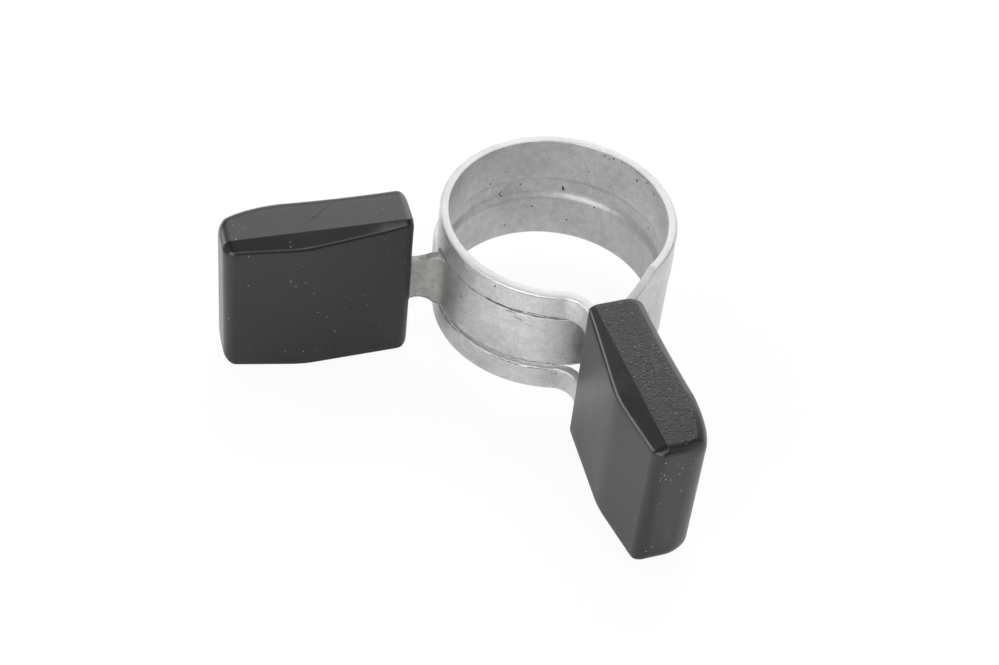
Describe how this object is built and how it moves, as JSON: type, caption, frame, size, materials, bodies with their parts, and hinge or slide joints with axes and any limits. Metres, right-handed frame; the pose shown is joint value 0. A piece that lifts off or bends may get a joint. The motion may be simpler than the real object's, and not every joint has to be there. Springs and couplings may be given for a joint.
{
  "type": "spring band clamp",
  "caption": "Spring band clamp for a tube or hose: a crossed spring-steel ring that opens when its two moulded grips are squeezed together.",
  "frame": {"origin": "on the axis of the ring, at mid-height of the band, with the grips free", "axes": "+Z along the bore, +Y towards the closed back of the band, one grip on either side of -Y"},
  "size_m": [0.1147, 0.0807, 0.0384],
  "materials": {
    "zinc_coated_strip": "matt zinc coating on spring steel",
    "grip_plastic": "moulded, satin"
  },
  "bodies": {
    "back": {"band_back": "zinc_coated_strip"},
    "left_side": {"band_left_side": "zinc_coated_strip"},
    "left_arm": {"window_arm": "zinc_coated_strip", "right_grip": "grip_plastic"},
    "right_side": {"band_right_side": "zinc_coated_strip"},
    "right_arm": {"tongue_arm": "zinc_coated_strip", "left_grip": "grip_plastic"}
  },
  "joints": [
    {"name": "squeeze", "type": "hinge", "parent": "back", "child": "left_side", "pos_m": [-0.0135, 0.02338, 0], "axis": [0, 0, -1], "range_deg": [0, 10], "stiffness_Nm_per_rad": 80},
    {"name": "flex_left_front", "type": "hinge", "parent": "left_side", "child": "left_arm", "pos_m": [-0.027, 0, 0], "axis": [0, 0, -1], "range_deg": [0, 10], "stiffness_Nm_per_rad": 80},
    {"name": "flex_right_rear", "type": "hinge", "parent": "back", "child": "right_side", "pos_m": [0.0135, 0.02338, 0], "axis": [0, 0, 1], "range_deg": [0, 10], "stiffness_Nm_per_rad": 80},
    {"name": "flex_right_front", "type": "hinge", "parent": "right_side", "child": "right_arm", "pos_m": [0.027, 0, 0], "axis": [0, 0, 1], "range_deg": [0, 10], "stiffness_Nm_per_rad": 80}
  ],
  "couplings": [
    {"joint": "flex_left_front", "follows": "squeeze", "ratio": 1},
    {"joint": "flex_right_rear", "follows": "squeeze", "ratio": 1},
    {"joint": "flex_right_front", "follows": "squeeze", "ratio": 1}
  ]
}
